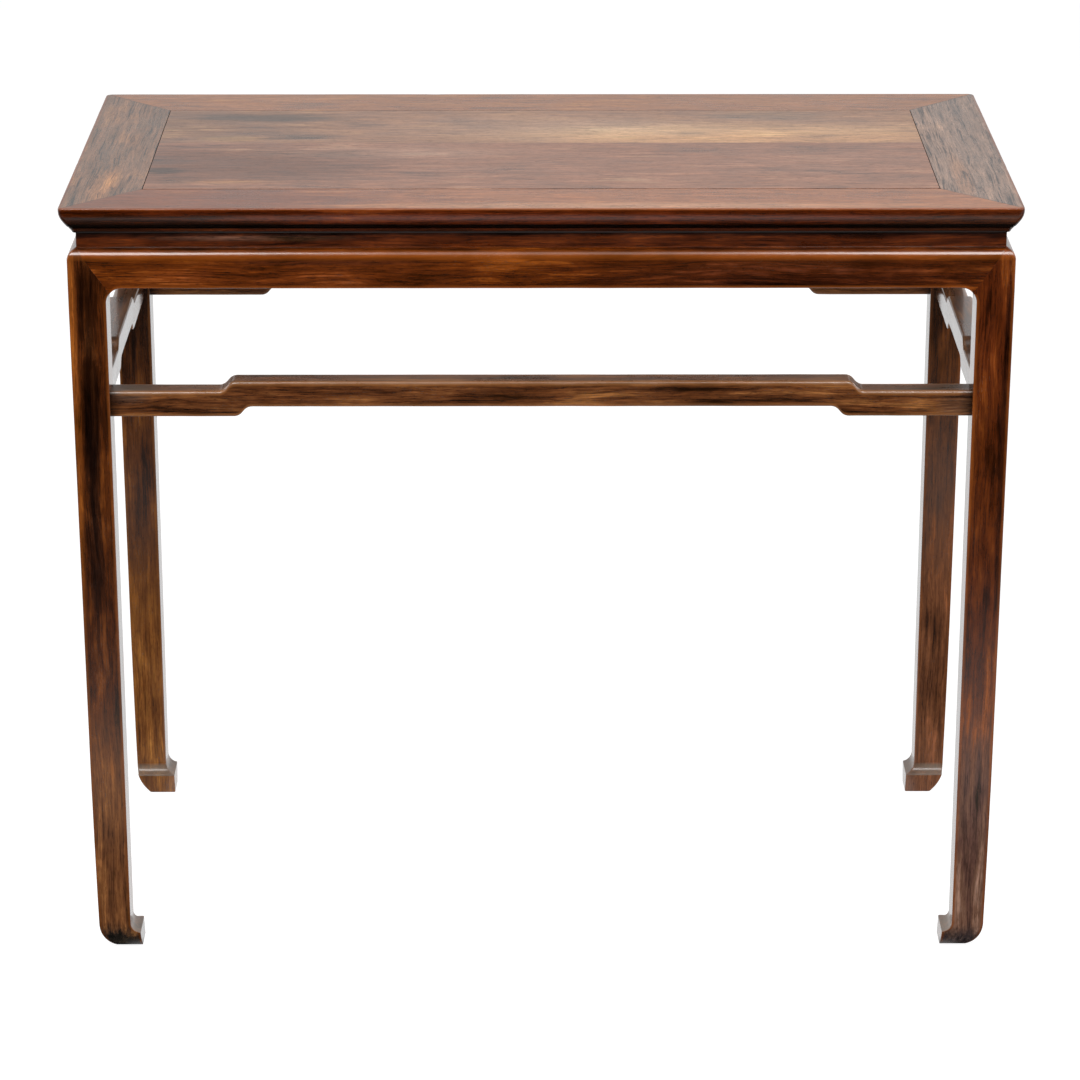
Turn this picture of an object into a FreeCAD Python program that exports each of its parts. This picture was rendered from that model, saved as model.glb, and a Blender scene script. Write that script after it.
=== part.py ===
"""Chinese half table (banzhuo): a waisted side table of solid hardwood, made with wood joints only.

A mitred frame holds a flush floating panel of two boards. Below it come a recessed waist, aprons
that are mitred to the legs, humpback stretchers on all four sides, and legs that end in hoof feet.

Millimetres. The origin is the centre of the footprint on the floor, +Z is up, +X runs along the
length and the front faces -Y. Each piece is made once in a local frame and is then turned or
mirrored to its side. In a side's local frame x runs along the piece, y runs inwards from its outer
face and z is the real height. In a leg's local frame both x and y run inwards from the outer faces.
"""

import FreeCAD, Part
import math
import os

from FreeCAD import Vector

# ---------------------------------------------------------------- driving sizes
# overall
table_length = 980.0
table_depth = 498.0
table_height = 835.0

# clearances of the joints
fit = 0.2                   # each side of a tenon, tongue or pin
end_gap = 0.8               # beyond the end of a blind tenon
housing_wall = 1.0          # least wood left between two mortises

# top frame: the "ice plate" edge is an oval curve over a thin lip
rail_width = 79.0
rail_thickness = 28.5
arris_drop = 1.8            # softened top arris, downwards
arris_run = 1.0             # softened top arris, inwards
edge_reach = 14.5           # how far the moulding falls back to its lip
edge_under_radius = 10.0    # tight lower part of the oval
lip_height = 3.0

# mitre tenon of the long rails in the short end rails
mitre_tenon_thickness = 9.0
mitre_tenon_outer = 26.0    # shoulder from the outer edge
mitre_tenon_inner = 15.0    # shoulder from the inner edge
mitre_tenon_wall = 16.0     # wood left beyond the blind end

# floating panel, flush with the frame
panel_thickness = 13.0
panel_tongue = 6.0          # thickness of the tongue in the frame's groove
panel_groove_depth = 9.0
panel_gap = 0.4             # visible joint round the panel
front_board_width = 193.0   # from the frame to the joint between the boards
board_tongue_thickness = 4.0
board_tongue_length = 4.0

# transverse battens under the panel
batten_count = 3
batten_pitch = 255.0
batten_width = 24.0
batten_height = 20.0
batten_key_height = 4.0     # dovetail key in the boards
batten_key_flare = 3.0
batten_tenon_length = 16.0
batten_tenon_width = 16.0
batten_tenon_thickness = 8.0

# waist
waist_height = 15.5
waist_thickness = 9.0
ledge = 9.4                 # the waist stands this far behind the legs and aprons
waist_tongue_thickness = 4.0
waist_tongue_height = 4.0

# aprons
frame_overhang = 6.6        # frame edge beyond the legs
apron_height = 42.0
apron_thickness = 20.0
crown_drop = 6.0            # fall of the sloping top over the ledge
crown_radius = 5.0
spandrel_radius = 16.0      # inner corner between leg and apron
apron_tongue_thickness = 5.0
apron_tongue_setback = 3.0  # behind the mitred skin
apron_tongue_length = 12.0
apron_tongue_rise = 10.0    # lowest point above the apron's bottom edge
pin_width = 5.0             # hanging pin: dovetail on the leg that the apron slides down over
pin_flare = 1.5
pin_depth = 4.0
pin_setback = 13.0          # from the leg's inner face to the pin's centre
pin_top = 8.0               # below the apron's top
pin_root = 4.0              # how far the pin's foot reaches below the mitre, into the leg

# legs
leg_section = 38.5
taper_height = 240.0        # below this the outer faces curve in
taper_inset = 2.1
ankle_height = 33.0         # top of the foot's outer curve
ankle_inset = 4.3
shin_bow = 0.3              # outward swell of the curve between taper and ankle
sole_inset = 21.0
hoof_height = 21.6
hoof_reach = 10.2           # the tip beyond the leg's inner faces
hoof_slant = 0.8
hoof_scoop_radius = 12.0
tenon_margin = 1.0          # from the neck's faces to its tenons
leg_tenon_width = 6.5
leg_tenon_length = 9.5
long_tenon_height = 18.0    # into the long rail
short_tenon_height = 8.0    # into the end rail, under the mitre tenon

# humpback stretchers
stretcher_bottom = 610.0
stretcher_height = 27.0
stretcher_thickness = 27.0
stretcher_edge = 1.8        # softened long edges
hump_rise = 10.5
crank_top = 116.0           # from the leg to the foot of the upper slope
crank_run = 9.0             # length of the slope
crank_lag = 16.0            # the lower slope starts this much later
crank_radius = 8.0
stretcher_tenon_thickness = 9.0
stretcher_tenon_height = 19.0
same_place = 1e-6           # two values this close are one

# ---------------------------------------------------------------- derived places
frame_bottom = table_height - rail_thickness
apron_top = frame_bottom - waist_height
apron_bottom = apron_top - apron_height
leg_span_x = table_length - 2 * frame_overhang
leg_span_y = table_depth - 2 * frame_overhang
waist_back = ledge + waist_thickness
neck_face = waist_back + fit
waist_tongue_front = ledge + (waist_thickness - waist_tongue_thickness) / 2
waist_tongue_back = waist_tongue_front + waist_tongue_thickness
mitre_slope = apron_height / (leg_section - ledge)
panel_bottom = table_height - panel_thickness
tongue_top = panel_bottom + panel_tongue
opening_x = table_length - 2 * rail_width
opening_y = table_depth - 2 * rail_width
board_joint = rail_width + front_board_width
mitre_tenon_bottom = frame_bottom + short_tenon_height + end_gap + housing_wall
batten_places = [(i - (batten_count - 1) / 2) * batten_pitch for i in range(batten_count)]

os.makedirs("parts", exist_ok=True)


# ---------------------------------------------------------------- helpers
def box(x_range, y_range, z_range):
    """A block between two values on each axis."""
    low = Vector(x_range[0], y_range[0], z_range[0])
    high = Vector(x_range[1], y_range[1], z_range[1])
    size = high - low
    return Part.makeBox(size.x, size.y, size.z, low)


def grown(span, gap):
    """A span made longer by a gap at both ends."""
    return (span[0] - gap, span[1] + gap)


def section(a, b):
    """A point of a cross-section: a inwards from the outer face, b up."""
    return Vector(0, a, b)


def elevation(a, b):
    """A point of a front elevation: a along the piece, b up."""
    return Vector(a, 0, b)


def plan(a, b):
    """A point of a plan at height zero."""
    return Vector(a, b, 0)


def line(start, end):
    return Part.makeLine(start, end)


def arc_about(centre, start, end):
    """The shorter arc between two points that lie equally far from a centre."""
    radius = (start - centre).Length
    middle = centre + ((start - centre) + (end - centre)).normalize() * radius
    return Part.Arc(start, middle, end).toShape()


def turn(before, corner, after, radius):
    """The arc that rounds a corner: its two ends and its middle."""
    back = (before - corner).normalize()
    ahead = (after - corner).normalize()
    half = back.getAngle(ahead) / 2
    reach = radius / math.tan(half)
    centre = corner + (back + ahead).normalize() * (radius / math.sin(half))
    middle = centre + (corner - centre).normalize() * radius
    return corner + back * reach, middle, corner + ahead * reach


def rounded_face(corners):
    """A face whose outline runs through corners (point, radius); radius 0 leaves a corner sharp."""
    count = len(corners)
    stops = []
    for i, (corner, radius) in enumerate(corners):
        before = corners[i - 1][0]
        after = corners[(i + 1) % count][0]
        stops.append(turn(before, corner, after, radius) if radius else (corner, None, corner))
    edges = []
    for i, (start, middle, end) in enumerate(stops):
        if middle:
            edges.append(Part.Arc(start, middle, end).toShape())
        edges.append(line(end, stops[(i + 1) % count][0]))
    return Part.Face(Part.Wire(edges))


def flat_face(points):
    """A face with straight edges."""
    return Part.Face(Part.makePolygon(points + points[:1]))


def bar(face, span):
    """A cross-section drawn at x = 0, run along x and centred."""
    return face.translated(Vector(-span / 2, 0, 0)).extrude(Vector(span, 0, 0))


def mitred(solid, span, width):
    """Cut both ends of a bar at 45 degrees in plan, from the outer face at y = 0."""
    half = span / 2
    trapezoid = flat_face([
        plan(-half, 0), plan(half, 0), plan(half - width, width), plan(width - half, width)])
    return solid.common(trapezoid.extrude(Vector(0, 0, table_height)))


def both_ends(solid):
    """A feature at the left end of a bar together with its mirror image at the right end."""
    return solid.fuse(solid.mirror(Vector(), Vector(1, 0, 0)))


def tidy(solid):
    """Merge coplanar faces and keep the piece as one plain solid."""
    return solid.removeSplitter().Solids[0]


def seated(solid, side, span_x, span_y):
    """Move a piece from its local frame to one side of a rectangle of the given spans."""
    angle, offset = {
        "front": (0, Vector(0, -span_y / 2, 0)),
        "right": (90, Vector(span_x / 2, 0, 0)),
        "back": (180, Vector(0, span_y / 2, 0)),
        "left": (270, Vector(-span_x / 2, 0, 0)),
    }[side]
    moved = solid.copy()
    moved.rotate(Vector(), Vector(0, 0, 1), angle)
    moved.translate(offset)
    return moved


def save(solid, node):
    solid.exportStep("parts/" + node + ".step")


# ---------------------------------------------------------------- top frame
def rail_profile():
    """Section of every frame member, from the moulded edge to the grooved inner edge."""
    lip_top = frame_bottom + lip_height
    widest = table_height - arris_drop
    groove_back = rail_width - panel_groove_depth
    waist_groove = grown((waist_tongue_front, waist_tongue_back), fit)
    groove_top = frame_bottom + waist_tongue_height + end_gap
    fall = widest - lip_top
    under = edge_under_radius
    upper_radius = (edge_reach ** 2 + (fall - under) ** 2 - under ** 2) / (2 * (edge_reach - under))
    upper_centre = section(upper_radius, widest)
    under_centre = section(edge_reach, lip_top + under)
    blend = under_centre + (under_centre - upper_centre).normalize() * under
    path = [
        section(0, widest),
        section(arris_run, table_height),
        section(rail_width, table_height),
        section(rail_width, tongue_top),
        section(groove_back, tongue_top),
        section(groove_back, panel_bottom),
        section(rail_width, panel_bottom),
        section(rail_width, frame_bottom),
        section(waist_groove[1] + frame_overhang, frame_bottom),
        section(waist_groove[1] + frame_overhang, groove_top),
        section(waist_groove[0] + frame_overhang, groove_top),
        section(waist_groove[0] + frame_overhang, frame_bottom),
        section(edge_reach, frame_bottom),
        section(edge_reach, lip_top),
    ]
    edges = [line(a, b) for a, b in zip(path, path[1:])]
    edges.append(arc_about(under_centre, section(edge_reach, lip_top), blend))
    edges.append(arc_about(upper_centre, blend, section(0, widest)))
    return Part.Face(Part.Wire(edges))


def leg_tenon_in_frame(span, height, gap):
    """The tenon of a leg as a frame member meets it, at the member's left end."""
    along = leg_section - tenon_margin - leg_tenon_length + frame_overhang
    inwards = neck_face + tenon_margin + frame_overhang
    return box(
        grown((along - span / 2, along + leg_tenon_length - span / 2), gap),
        grown((inwards, inwards + leg_tenon_width), gap),
        (frame_bottom - end_gap, frame_bottom + height + end_gap))


def long_rail():
    """Long member: mitred, with a tenon at each end and mortises for the battens and legs."""
    left = -table_length / 2
    rail = mitred(bar(rail_profile(), table_length), table_length, rail_width)
    tenon = box(
        (left + mitre_tenon_wall, left + rail_width - mitre_tenon_inner),
        (mitre_tenon_outer, rail_width - mitre_tenon_inner),
        (mitre_tenon_bottom, mitre_tenon_bottom + mitre_tenon_thickness))
    rail = rail.fuse(both_ends(tenon))
    rail = rail.cut(both_ends(leg_tenon_in_frame(table_length, long_tenon_height, fit)))
    for place in batten_places:
        rail = rail.cut(box(
            grown((place - batten_tenon_width / 2, place + batten_tenon_width / 2), fit),
            (rail_width - batten_tenon_length - end_gap, rail_width + end_gap),
            grown(batten_tenon_z(), fit)))
    return tidy(rail)


def end_rail():
    """Short member: mitred, with mortises for the long rails' tenons and the short leg tenons."""
    left = -table_depth / 2
    rail = mitred(bar(rail_profile(), table_depth), table_depth, rail_width)
    mortise = box(
        grown((left + mitre_tenon_outer, left + rail_width - mitre_tenon_inner), fit),
        (mitre_tenon_wall - end_gap, rail_width - mitre_tenon_inner + fit),
        grown((mitre_tenon_bottom, mitre_tenon_bottom + mitre_tenon_thickness), fit))
    rail = rail.cut(both_ends(mortise))
    rail = rail.cut(both_ends(leg_tenon_in_frame(table_depth, short_tenon_height, fit)))
    return tidy(rail)


# ---------------------------------------------------------------- floating panel
def batten_tenon_z():
    """Height range of a batten's tenon, centred in the wood under the panel groove."""
    middle = (frame_bottom + panel_bottom) / 2
    return (middle - batten_tenon_thickness / 2, middle + batten_tenon_thickness / 2)


def batten_key(length, gap):
    """The dovetail along the top of a batten."""
    half = batten_width / 2 - batten_key_flare
    neck = half + gap
    head = half + batten_key_flare + gap
    top = panel_bottom + batten_key_height + gap
    face = flat_face([
        elevation(-neck, panel_bottom), elevation(neck, panel_bottom),
        elevation(head, top), elevation(-head, top)])
    return face.translated(Vector(0, -length / 2, 0)).extrude(Vector(0, length, 0))


def panel():
    """Both boards as one plate, tongued all round and housed underneath for the battens."""
    plate = box(
        grown((-opening_x / 2, opening_x / 2), -panel_gap),
        grown((-opening_y / 2, opening_y / 2), -panel_gap),
        (panel_bottom, table_height))
    reach = panel_groove_depth - end_gap
    tongue = box(
        grown((-opening_x / 2, opening_x / 2), reach),
        grown((-opening_y / 2, opening_y / 2), reach),
        (panel_bottom, tongue_top - fit))
    whole = plate.fuse(tongue)
    for place in batten_places:
        whole = whole.cut(batten_key(table_depth, fit).translated(Vector(place, 0, 0)))
    return whole


def front_board_space(gap):
    """The room of the front board up to the joint, with the tongue that it sends into the other."""
    joint = board_joint - table_depth / 2
    middle = panel_bottom + panel_thickness / 2
    half = board_tongue_thickness / 2
    room = box((-table_length / 2, table_length / 2), (-table_depth / 2, joint), (0, table_height))
    return room.fuse(box(
        (-table_length / 2, table_length / 2), (joint, joint + board_tongue_length + gap),
        grown((middle - half, middle + half), gap)))


def batten():
    """Transverse batten: a bar under the boards, its dovetail key and a stub tenon at each end."""
    body = box(
        (-batten_width / 2, batten_width / 2),
        (-opening_y / 2, opening_y / 2),
        (panel_bottom - batten_height, panel_bottom))
    tenon = box(
        (-batten_tenon_width / 2, batten_tenon_width / 2),
        grown((-opening_y / 2, opening_y / 2), batten_tenon_length),
        batten_tenon_z())
    return tidy(body.fuse(tenon).fuse(batten_key(opening_y - 2 * fit, 0)))


# ---------------------------------------------------------------- waist
def waist_strip(span):
    """Recessed strip: mitred at the corners, tongued into the frame and into the apron."""
    tongue = (waist_tongue_front, waist_tongue_back)
    strip = bar(flat_face([
        section(ledge, apron_top), section(waist_back, apron_top),
        section(waist_back, frame_bottom), section(tongue[1], frame_bottom),
        section(tongue[1], frame_bottom + waist_tongue_height),
        section(tongue[0], frame_bottom + waist_tongue_height),
        section(tongue[0], frame_bottom), section(ledge, frame_bottom)]), span)
    strip = mitred(strip, span, waist_back)
    inner = span / 2 - leg_section - end_gap
    lower = box((-inner, inner), tongue, (apron_top - waist_tongue_height, apron_top))
    return tidy(strip.fuse(lower))


# ---------------------------------------------------------------- aprons
def mitre_z(x):
    """Height of the leg and apron's mitre at a distance x from the leg's outer corner."""
    return apron_bottom + (leg_section - x) * mitre_slope


def spandrel_meeting():
    """Where the mitre runs out on the rounded inner corner, as (x, z)."""
    squares = 1 + mitre_slope ** 2
    half = spandrel_radius * (1 + mitre_slope)
    step = (half - math.sqrt(half ** 2 - squares * spandrel_radius ** 2)) / squares
    return leg_section + step, mitre_z(leg_section + step)


def spandrel_arc(start, end):
    """The part of the inner corner's arc between two of its points."""
    centre = elevation(leg_section + spandrel_radius, apron_bottom - spandrel_radius)
    return arc_about(centre, start, end)


def crown_corners():
    """Outer edge of the apron's section: upright face, rounded shoulder and slope to the waist."""
    return [
        (section(0, apron_top - crown_drop), crown_radius),
        (section(ledge, apron_top), 0),
    ]


def apron_outline(span, left_edge):
    """Front elevation of an apron; left_edge lists the points from the top down to the mitre's end."""
    half = span / 2
    meet = elevation(*spandrel_meeting())
    arc_end = elevation(leg_section + spandrel_radius, apron_bottom)
    left = left_edge + [meet]
    shift = Vector(-half, 0, 0)
    edges = [line(a, b) for a, b in zip(left, left[1:])] + [spandrel_arc(meet, arc_end)]
    edges.append(line(arc_end, elevation(half, apron_bottom)))
    edges = [edge.translated(shift) for edge in edges]
    edges += [edge.mirror(Vector(), Vector(1, 0, 0)) for edge in edges]
    edges.append(line(left[0] + shift, elevation(half - left[0].x, left[0].z)))
    return Part.Face(Part.Wire(Part.__sortEdges__(edges)))


def hanging_pin(gap):
    """Dovetail pin on the leg, behind the apron's skin; it narrows towards the leg."""
    centre = leg_section - pin_setback
    root = pin_width / 2 + gap
    head = root + pin_flare
    front = ledge - pin_depth - gap
    low = mitre_z(centre) - pin_root
    face = flat_face([
        plan(centre - root, ledge), plan(centre - head, front),
        plan(centre + head, front), plan(centre + root, ledge)])
    return face.translated(Vector(0, 0, low)).extrude(Vector(0, 0, apron_top - pin_top + gap - low))


def apron_tongue(gap, top):
    """Triangular tongue behind the skin, in the corner frame of the leg that it enters."""
    front = ledge + apron_tongue_setback - gap
    low = apron_bottom + apron_tongue_rise - gap
    far = leg_section - apron_tongue_length - (end_gap if gap else 0)
    root = leg_section + fit
    rise = (root - far) * mitre_slope
    face = flat_face([
        elevation(root, low), elevation(far, low + rise), elevation(far, top), elevation(root, top)])
    return face.translated(Vector(0, front, 0)).extrude(Vector(0, apron_tongue_thickness + 2 * gap, 0))


def apron(span):
    """Apron with a crowned top; its skin is mitred over the legs and hangs on their dovetail pins."""
    half = span / 2
    to_end = Vector(-half, 0, 0)
    profile = rounded_face(
        [(section(0, apron_bottom - spandrel_radius), 0)] + crown_corners() +
        [(section(apron_thickness, apron_top), 0),
         (section(apron_thickness, apron_bottom - spandrel_radius), 0)])
    body_edge = [elevation(leg_section, apron_top), elevation(leg_section, apron_bottom)]
    body = apron_outline(span, body_edge).extrude(Vector(0, apron_thickness, 0))
    skin = apron_outline(span, [elevation(ledge, apron_top)]).extrude(Vector(0, ledge, 0))
    blank = body.fuse(skin).common(bar(profile, span))
    blank = blank.fuse(both_ends(apron_tongue(0, apron_top).translated(to_end)))
    blank = blank.cut(both_ends(hanging_pin(fit).translated(to_end)))
    inner = half - leg_section + fit
    blank = blank.cut(box(
        (-inner, inner), grown((waist_tongue_front, waist_tongue_back), fit),
        (apron_top - waist_tongue_height - end_gap, apron_top + end_gap)))
    return tidy(blank)


# ---------------------------------------------------------------- legs
def leg_profile():
    """One elevation of a leg: crowned shoulder, tapering outer face, curved foot and hoof tip."""
    taper_start = apron_bottom - spandrel_radius
    crown_start, crown_middle, crown_end = turn(
        elevation(0, taper_start), elevation(0, apron_top - crown_drop),
        elevation(ledge, apron_top), crown_radius)
    knee = elevation(taper_inset, taper_height)
    ankle = elevation(ankle_inset, ankle_height)
    shin = (knee + ankle) / 2 - elevation(shin_bow, 0)
    foot_run = sole_inset - ankle_inset
    foot_radius = (foot_run ** 2 + ankle_height ** 2) / (2 * foot_run)
    foot_centre = ankle + elevation(foot_radius, 0)
    tip = leg_section + hoof_reach
    scoop = hoof_scoop_radius
    scoop_top = hoof_height + math.sqrt(scoop ** 2 - (scoop - hoof_reach) ** 2)
    scoop_centre = elevation(leg_section + scoop, scoop_top)
    edges = [
        line(elevation(leg_section, apron_top), elevation(ledge, apron_top)),
        line(elevation(ledge, apron_top), crown_end),
        Part.Arc(crown_end, crown_middle, crown_start).toShape(),
        line(crown_start, elevation(0, taper_start)),
        line(elevation(0, taper_start), knee),
        Part.Arc(knee, shin, ankle).toShape(),
        arc_about(foot_centre, ankle, elevation(sole_inset, 0)),
        line(elevation(sole_inset, 0), elevation(tip + hoof_slant, 0)),
        line(elevation(tip + hoof_slant, 0), elevation(tip, hoof_height)),
        arc_about(scoop_centre, elevation(tip, hoof_height), elevation(leg_section, scoop_top)),
        line(elevation(leg_section, scoop_top), elevation(leg_section, apron_top)),
    ]
    return Part.Face(Part.Wire(edges))


def diagonal(solid):
    """The same feature on the leg's other outer face."""
    return solid.mirror(Vector(), Vector(1, -1, 0))


def on_both_faces(solid):
    return solid.fuse(diagonal(solid))


def leg_ear():
    """The leg's share of the rounded inner corner, under the mitre."""
    meet = elevation(*spandrel_meeting())
    foot = elevation(leg_section, apron_bottom - spandrel_radius)
    corner = elevation(leg_section, apron_bottom)
    root = elevation(-fit, 0)
    edges = [
        line(corner, meet),
        spandrel_arc(meet, foot),
        line(foot, foot + root),
        line(foot + root, corner + root),
        line(corner + root, corner),
    ]
    return Part.Face(Part.Wire(edges)).extrude(Vector(0, apron_thickness, 0))


def skin_seat():
    """The rebate in the leg's front face that the apron's mitred skin covers."""
    far = leg_section + spandrel_radius
    face = flat_face([
        elevation(ledge, apron_top), elevation(far, mitre_z(far)), elevation(far, apron_top)])
    return face.extrude(Vector(0, ledge, 0))


def stretcher_tenon(gap, setback):
    """A stretcher's tenon in the leg's corner frame; its end is mitred to meet its neighbour."""
    near = (leg_section - stretcher_tenon_thickness) / 2 - gap
    far = near + stretcher_tenon_thickness + 2 * gap
    root = leg_section + fit
    face = flat_face([
        plan(root, near), plan(root, far), plan(far + setback, far), plan(near + setback, near)])
    low = stretcher_bottom + (stretcher_height - stretcher_tenon_height) / 2 - gap
    return face.translated(Vector(0, 0, low)).extrude(Vector(0, 0, stretcher_tenon_height + 2 * gap))


def leg():
    """Leg at the front left corner, in its corner frame."""
    reach = leg_section + hoof_reach + hoof_slant
    blank = leg_profile().extrude(Vector(0, reach, 0))
    shaft = blank.common(diagonal(blank))
    shaft = shaft.fuse(on_both_faces(leg_ear()))
    shaft = shaft.cut(on_both_faces(skin_seat()))
    shaft = shaft.fuse(on_both_faces(hanging_pin(0)))
    shaft = shaft.cut(on_both_faces(apron_tongue(fit, apron_top)))
    shaft = shaft.cut(on_both_faces(stretcher_tenon(fit, 0)))
    neck = box((neck_face, leg_section), (neck_face, leg_section), (apron_top, frame_bottom))
    far = leg_section - tenon_margin
    near = neck_face + tenon_margin
    long_tenon = box(
        (far - leg_tenon_length, far), (near, near + leg_tenon_width),
        (frame_bottom, frame_bottom + long_tenon_height))
    short_tenon = box(
        (near, near + leg_tenon_width), (far - leg_tenon_length, far),
        (frame_bottom, frame_bottom + short_tenon_height))
    return tidy(shaft.fuse(neck).fuse(long_tenon).fuse(short_tenon))


# ---------------------------------------------------------------- stretchers
def runs_along(edge):
    """True for an edge of the front or back face that isn't an upright end of the stretcher."""
    first, last = edge.Vertexes[0].Point, edge.Vertexes[-1].Point
    return abs(first.y - last.y) < same_place and abs(first.x - last.x) > same_place


def stretcher(span):
    """Humpback stretcher between two legs, with soft edges and a mitred tenon at each end."""
    half = span / 2 - leg_section
    low = stretcher_bottom
    high = low + stretcher_height
    upper = half - crank_top
    lower = upper - crank_lag
    right = [
        (elevation(lower - crank_run, low + hump_rise), crank_radius),
        (elevation(lower, low), crank_radius),
        (elevation(half, low), 0),
        (elevation(half, high), 0),
        (elevation(upper, high), crank_radius),
        (elevation(upper - crank_run, high + hump_rise), crank_radius),
    ]
    left = [(elevation(-point.x, point.z), radius) for point, radius in reversed(right)]
    blank = rounded_face(right + left).extrude(Vector(0, stretcher_thickness, 0))
    blank = blank.makeChamfer(stretcher_edge, [edge for edge in blank.Edges if runs_along(edge)])
    blank.translate(Vector(0, (leg_section - stretcher_thickness) / 2, 0))
    tenon = stretcher_tenon(0, end_gap).translated(Vector(-span / 2, 0, 0))
    return tidy(blank.fuse(both_ends(tenon)))


# ---------------------------------------------------------------- build
rails = {"front": long_rail(), "back": long_rail(), "left": end_rail(), "right": end_rail()}
sides = [
    ("front", leg_span_x), ("back", leg_span_x),
    ("left", leg_span_y), ("right", leg_span_y),
]
for side, span in sides:
    save(seated(rails[side], side, table_length, table_depth), "top_rail_" + side)
    save(seated(waist_strip(span), side, leg_span_x, leg_span_y), "waist_" + side)
    save(seated(apron(span), side, leg_span_x, leg_span_y), "apron_" + side)
    save(seated(stretcher(span), side, leg_span_x, leg_span_y), "stretcher_" + side)

save(tidy(panel().common(front_board_space(0))), "panel_board_front")
save(tidy(panel().cut(front_board_space(fit))), "panel_board_back")

for name, place in zip(("left", "middle", "right"), batten_places):
    save(batten().translated(Vector(place, 0, 0)), "batten_" + name)

corner_leg = leg().translated(Vector(-leg_span_x / 2, -leg_span_y / 2, 0))
for depth_name, flip_y in (("front", False), ("back", True)):
    row = corner_leg.mirror(Vector(), Vector(0, 1, 0)) if flip_y else corner_leg
    save(row, "leg_" + depth_name + "_left")
    save(row.mirror(Vector(), Vector(1, 0, 0)), "leg_" + depth_name + "_right")
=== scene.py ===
"""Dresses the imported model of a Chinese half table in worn, waxed rosewood.

The table is put together here as a joiner would: the legs with their stretchers and aprons first,
then the waist, the framed top with its floating panel and the battens under it. Pieces whose arrises
have worn round get a mesh of their own over the same sizes; the others keep their solid's surface.
"""

import math

import bmesh
import bpy
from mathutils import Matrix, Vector, noise


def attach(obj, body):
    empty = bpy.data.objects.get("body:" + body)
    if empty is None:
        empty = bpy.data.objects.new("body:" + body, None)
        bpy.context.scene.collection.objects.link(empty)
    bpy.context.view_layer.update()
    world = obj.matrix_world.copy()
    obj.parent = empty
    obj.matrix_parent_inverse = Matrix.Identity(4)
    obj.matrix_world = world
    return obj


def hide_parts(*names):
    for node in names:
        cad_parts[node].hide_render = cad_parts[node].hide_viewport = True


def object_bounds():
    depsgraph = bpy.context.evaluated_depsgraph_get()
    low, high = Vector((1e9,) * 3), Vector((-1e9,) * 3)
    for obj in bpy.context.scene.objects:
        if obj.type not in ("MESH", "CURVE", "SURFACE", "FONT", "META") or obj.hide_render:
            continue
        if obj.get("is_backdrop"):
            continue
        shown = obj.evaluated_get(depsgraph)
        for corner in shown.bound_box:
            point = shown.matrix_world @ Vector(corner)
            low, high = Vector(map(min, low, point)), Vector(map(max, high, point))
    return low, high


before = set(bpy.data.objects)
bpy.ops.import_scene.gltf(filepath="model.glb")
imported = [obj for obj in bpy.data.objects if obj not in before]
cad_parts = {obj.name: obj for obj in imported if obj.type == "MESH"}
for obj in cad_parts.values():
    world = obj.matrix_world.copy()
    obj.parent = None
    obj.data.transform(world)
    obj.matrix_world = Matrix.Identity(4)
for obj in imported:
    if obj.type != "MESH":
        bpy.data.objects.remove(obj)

cad_low, cad_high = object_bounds()
half_length = cad_high.x * 1000
half_depth = cad_high.y * 1000

# ------------------------------------------------------------------ legs
# Four square posts of rosewood, each planed from one length with its hoof foot left on and the
# inside of the foot scooped out with a gouge. The top is cut to mitres that the aprons cover.
# Wax and dusters have rounded every arris over the years; the feet have gone dull and grey.
frame_overhang = 6.6        # of the top frame beyond the legs
leg_side = 38.5
leg_foot_of_mitre = 749.1   # height of the apron's lower edge
leg_top = 791.1
ledge = 9.4                 # how far the waist stands back
ear_radius = 16.0           # rounded corner between leg and apron
ear_thickness = 20.0        # the leg's part of that corner is as thick as the apron
crown_drop = 6.0            # fall of the shoulder over the ledge
crown_radius = 11.0
taper_height, taper_inset = 240.0, 2.1
ankle_height, ankle_inset = 33.0, 4.3
shin_bow = 0.3              # swell of the curve between taper and ankle
sole_inset = 21.0
hoof_height, hoof_reach, hoof_slant = 21.6, 10.2, 0.8
scoop_radius = 12.0
sole_round = 1.3
tip_round = 0.8
leg_arris = 1.5             # how round the long arrises have worn
edge_arris_share = 0.85     # those beside the openings a little less,
clear_of_ear = 6.0          # up to this far below the mitre
back_arris_share = 0.8      # and the one under the table
tight = 0.08                # the hardly rounded arrises of a closed joint

mitre_slope = (leg_top - leg_foot_of_mitre) / (leg_side - ledge)
ear_centre = leg_side + ear_radius, leg_foot_of_mitre - ear_radius
leg_corner = half_length - frame_overhang, half_depth - frame_overhang


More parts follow.
